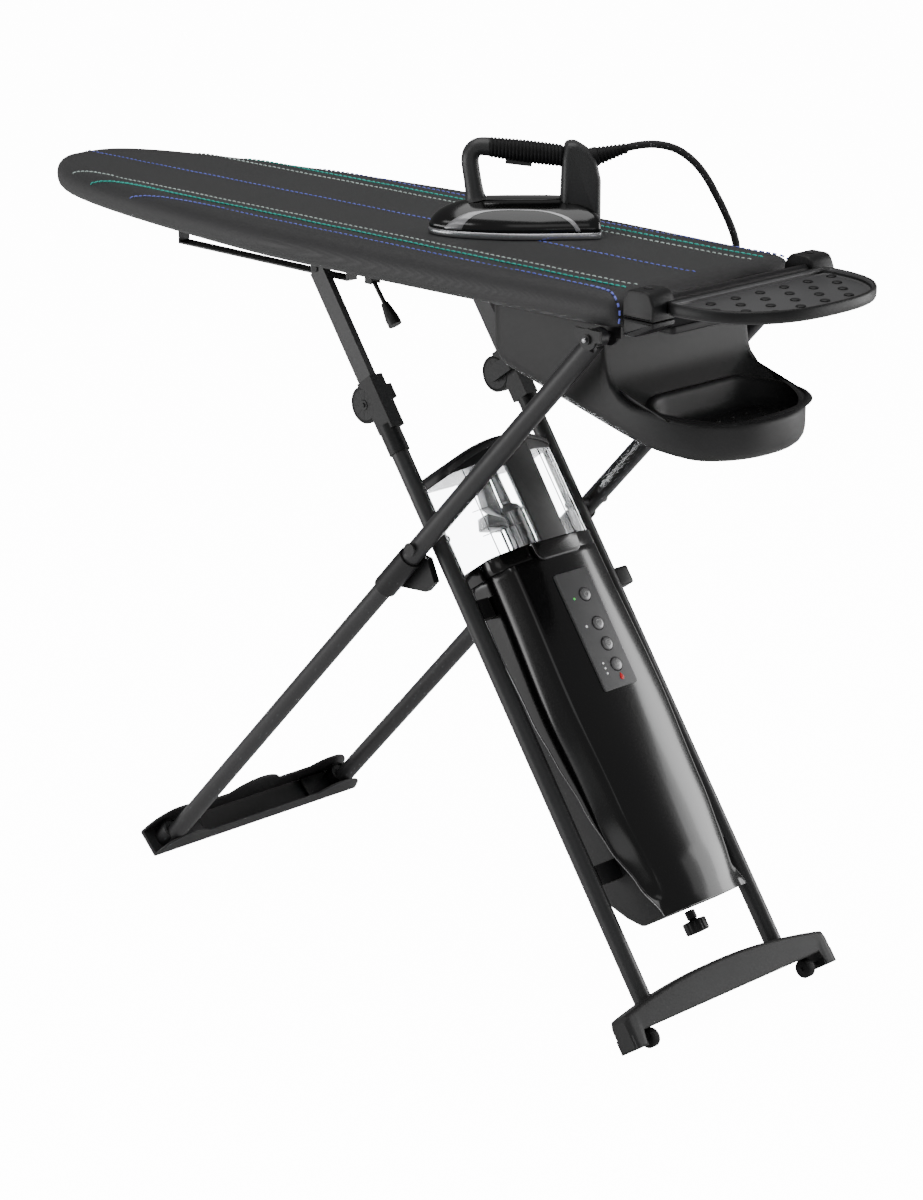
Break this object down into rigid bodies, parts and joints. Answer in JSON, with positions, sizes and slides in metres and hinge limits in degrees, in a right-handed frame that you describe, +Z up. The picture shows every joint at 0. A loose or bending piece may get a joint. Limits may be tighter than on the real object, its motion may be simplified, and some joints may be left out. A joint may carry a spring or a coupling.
{
  "type": "ironing system with steam generator",
  "caption": "Padded ironing board on folding crossed legs, with a steam generator between the legs, a storage box, a folding rest and a corded steam iron.",
  "frame": {"origin": "on the floor, under the middle of the whole length and width", "axes": "+X from the board's nose to the folding rest, +Y across the board to its far side, +Z up"},
  "size_m": [1.415, 0.4159, 1.071],
  "materials": {
    "frame_paint": "satin",
    "black_plastic": "matt",
    "dark_plastic": "fine grain",
    "gloss_black": "polished",
    "panel_grey": "satin",
    "steel": "brushed",
    "chrome_trim": "polished",
    "brass_valve": "machined",
    "circuit_board": "lacquered",
    "white_plastic": "satin",
    "clear_plastic": "clear",
    "lamp_lens": "clear",
    "soft_rubber": "matt",
    "padding": "felt",
    "cover_cloth": "woven, coated",
    "braid": "braided sleeve",
    "cast_alloy": "cast",
    "tub_steel": "matt"
  },
  "bodies": {
    "stand": {"stand_tubes": "frame_paint", "stand_arms": "frame_paint", "wheel_housings": "black_plastic", "slide_rod": "steel", "stand_foot": "dark_plastic", "stand_foot_pads": "soft_rubber", "generator_brackets": "black_plastic", "cross_pivots": "steel", "generator_front": "gloss_black", "generator_rear": "dark_plastic", "boiler": "cast_alloy", "steam_valve": "brass_valve", "water_pump": "white_plastic", "control_board": "circuit_board", "control_panel": "panel_grey", "indicator_lamps": "lamp_lens", "tank_dock": "black_plastic", "mains_inlet": "black_plastic"},
    "front_legs": {"leg_tubes": "frame_paint", "leg_collars": "black_plastic", "front_foot": "dark_plastic", "front_foot_pads": "soft_rubber"},
    "board": {"board_tub": "tub_steel", "board_padding": "padding", "board_cover": "cover_cloth", "storage_box": "dark_plastic", "basin_mat": "soft_rubber", "blower_housing": "black_plastic", "blower_motor": "steel", "slide_rails": "tub_steel", "pivot_brackets": "black_plastic", "pivot_bolts": "steel", "rest_hinge_blocks": "dark_plastic", "rest_pin": "steel", "steam_gland": "soft_rubber", "cord_coil": "braid", "steam_cord_lower": "braid"},
    "iron": {"iron_soleplate": "cast_alloy", "iron_body": "gloss_black", "iron_handle": "dark_plastic", "iron_grip": "soft_rubber", "cord_boot": "soft_rubber", "steam_cord_upper": "braid"},
    "tank": {"water_tank": "clear_plastic", "tank_lid": "black_plastic", "tank_handle": "panel_grey", "tank_filter": "black_plastic"},
    "transport_wheel_left": {"transport_wheel_left": "black_plastic"},
    "transport_wheel_right": {"transport_wheel_right": "black_plastic"},
    "floor_wheel_left": {"floor_wheel_left": "soft_rubber"},
    "floor_wheel_right": {"floor_wheel_right": "soft_rubber"},
    "power_button": {"power_button": "chrome_trim"},
    "mode_button": {"mode_button": "chrome_trim"},
    "pulse_button": {"pulse_button": "chrome_trim"},
    "fan_button": {"fan_button": "chrome_trim"},
    "drain_cap": {"drain_cap": "black_plastic"},
    "blower_fan": {"blower_fan": "white_plastic"},
    "iron_rest": {"iron_rest": "black_plastic"},
    "height_lever": {"height_lever": "black_plastic"},
    "iron_trigger": {"iron_trigger": "panel_grey"}
  },
  "joints": [
    {"name": "cross_fold", "type": "hinge", "parent": "stand", "child": "front_legs", "pos_m": [0.17111, 0, 0.56791], "axis": [0, 1, 0], "range_deg": [0, 70]},
    {"name": "board_tilt", "type": "hinge", "parent": "front_legs", "child": "board", "pos_m": [0.4795, 0, 0.894], "axis": [0, -1, 0], "range_deg": [0, 31.43]},
    {"name": "rest_fold", "type": "hinge", "parent": "board", "child": "iron_rest", "pos_m": [0.5545, 0, 0.946], "axis": [0, -1, 0], "range_deg": [0, 100]},
    {"name": "height_lever_pull", "type": "hinge", "parent": "board", "child": "height_lever", "pos_m": [0.075, -0.15, 0.9], "axis": [0, 1, 0], "range_deg": [0, 20], "stiffness_Nm_per_rad": 0.6},
    {"name": "iron_lift", "type": "slide", "parent": "board", "child": "iron", "axis": [0, 0, 1], "range_m": [0, 0.15]},
    {"name": "trigger_press", "type": "slide", "parent": "iron", "child": "iron_trigger", "axis": [0.0839, 0.0884, 0.9925], "range_m": [0, 0.003], "stiffness_N_per_m": 250},
    {"name": "transport_wheel_left_spin", "type": "hinge", "parent": "stand", "child": "transport_wheel_left", "pos_m": [0.03207, -0.12, 0.72289], "axis": [0, 1, 0], "continuous": true},
    {"name": "transport_wheel_right_spin", "type": "hinge", "parent": "stand", "child": "transport_wheel_right", "pos_m": [0.03207, 0.12, 0.72289], "axis": [0, 1, 0], "continuous": true},
    {"name": "floor_wheel_left_spin", "type": "hinge", "parent": "stand", "child": "floor_wheel_left", "pos_m": [0.5715, -0.15, 0.014], "axis": [0, 1, 0], "continuous": true},
    {"name": "floor_wheel_right_spin", "type": "hinge", "parent": "stand", "child": "floor_wheel_right", "pos_m": [0.5715, 0.15, 0.014], "axis": [0, 1, 0], "continuous": true},
    {"name": "drain_cap_turn", "type": "hinge", "parent": "stand", "child": "drain_cap", "pos_m": [0.51698, 0, 0.09313], "axis": [-0.5736, 0, 0.8192], "continuous": true},
    {"name": "blower_spin", "type": "hinge", "parent": "board", "child": "blower_fan", "pos_m": [0.324, -0.066, 0.866], "axis": [0, 0, 1], "continuous": true},
    {"name": "tank_lift", "type": "slide", "parent": "stand", "child": "tank", "axis": [-0.5736, 0, 0.8192], "range_m": [0, 0.12]},
    {"name": "power_press", "type": "slide", "parent": "stand", "child": "power_button", "axis": [-0.8192, 0, -0.5736], "range_m": [0, 0.0015], "stiffness_N_per_m": 400},
    {"name": "mode_press", "type": "slide", "parent": "stand", "child": "mode_button", "axis": [-0.8192, 0, -0.5736], "range_m": [0, 0.0015], "stiffness_N_per_m": 400},
    {"name": "pulse_press", "type": "slide", "parent": "stand", "child": "pulse_button", "axis": [-0.8192, 0, -0.5736], "range_m": [0, 0.0015], "stiffness_N_per_m": 400},
    {"name": "fan_press", "type": "slide", "parent": "stand", "child": "fan_button", "axis": [-0.8192, 0, -0.5736], "range_m": [0, 0.0015], "stiffness_N_per_m": 400}
  ],
  "couplings": [
    {"joint": "board_tilt", "follows": "cross_fold", "ratio": 0.449}
  ]
}
